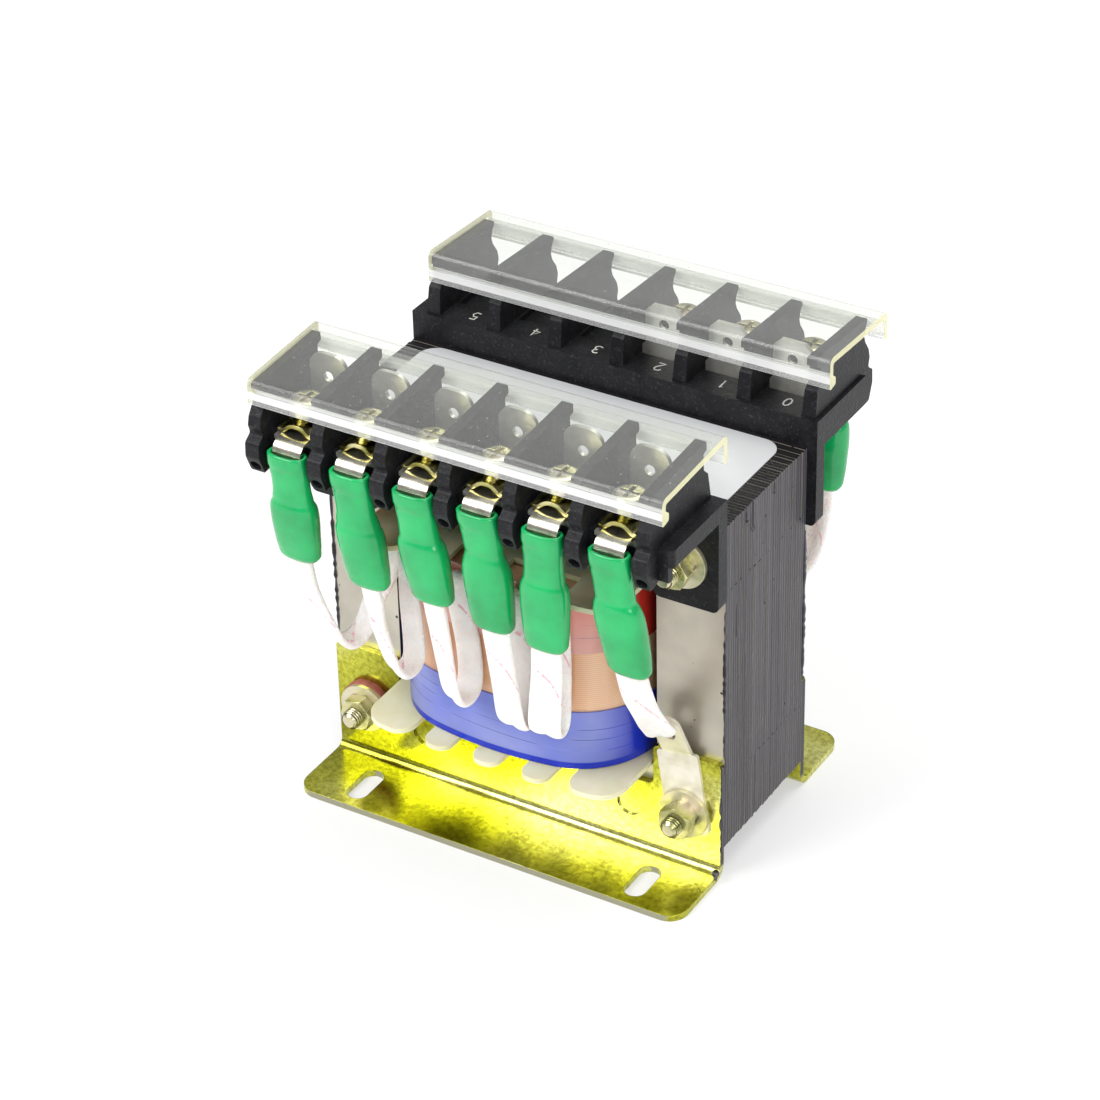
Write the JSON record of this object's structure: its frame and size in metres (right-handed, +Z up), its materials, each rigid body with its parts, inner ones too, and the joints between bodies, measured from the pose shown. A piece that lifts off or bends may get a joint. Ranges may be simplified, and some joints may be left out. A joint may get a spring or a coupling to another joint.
{
  "type": "step-down transformer",
  "caption": "Open-frame step-down transformer on two slotted steel feet, with barrier terminal rows at the front and the rear under clear removable covers.",
  "frame": {"origin": "on the surface that the feet stand on, under the middle of the core", "axes": "+X along the terminal rows to the right seen from the front, +Y from the front to the rear, +Z up"},
  "size_m": [0.103, 0.0904, 0.1093],
  "materials": {
    "core_steel": "varnished lamination edges, bare grey faces",
    "cream_plastic": "moulded, slightly yellowed",
    "enamelled_copper": "enamelled wire",
    "insulation_film": "clear film",
    "blue_tape": "translucent tape",
    "red_tape": "translucent tape",
    "yellow_zinc_steel": "yellow passivated zinc plating",
    "red_fibre": "vulcanised fibre",
    "tinned_brass": "tin plated",
    "dark_plastic": "moulded, satin",
    "green_sleeve": "soft sleeve",
    "white_lead": "flat white insulation",
    "clear_cover": "clear moulded sheet",
    "silver_label": "blank satin film"
  },
  "bodies": {
    "root": {"core_e_laminations": "core_steel", "core_i_laminations": "core_steel", "bobbin": "cream_plastic", "primary_winding": "enamelled_copper", "interlayer_insulation": "insulation_film", "secondary_winding": "enamelled_copper", "outer_wrap_film": "insulation_film", "blue_tape": "blue_tape", "red_tape": "red_tape", "front_bracket": "yellow_zinc_steel", "rear_bracket": "yellow_zinc_steel", "core_bolts": "yellow_zinc_steel", "bolt_nuts": "yellow_zinc_steel", "flat_washers": "yellow_zinc_steel", "spring_washers": "yellow_zinc_steel", "fibre_washer": "red_fibre", "earth_tag": "tinned_brass", "front_terminal_block": "dark_plastic", "rear_terminal_block": "dark_plastic", "front_terminal_plates": "tinned_brass", "rear_terminal_plates": "tinned_brass", "front_terminal_screws": "yellow_zinc_steel", "rear_terminal_screws": "yellow_zinc_steel", "front_screw_washers": "yellow_zinc_steel", "rear_screw_washers": "yellow_zinc_steel", "front_ring_terminals": "tinned_brass", "rear_ring_terminals": "tinned_brass", "front_sleeves": "green_sleeve", "rear_sleeves": "green_sleeve", "lead_1": "white_lead", "lead_2": "white_lead", "lead_3": "white_lead", "lead_4": "white_lead", "lead_5": "white_lead", "lead_6": "white_lead", "rear_lead_1": "white_lead", "rear_lead_2": "white_lead", "rear_lead_3": "white_lead", "front_cover": "clear_cover", "rear_cover": "clear_cover", "name_label": "silver_label"}
  },
  "joints": []
}
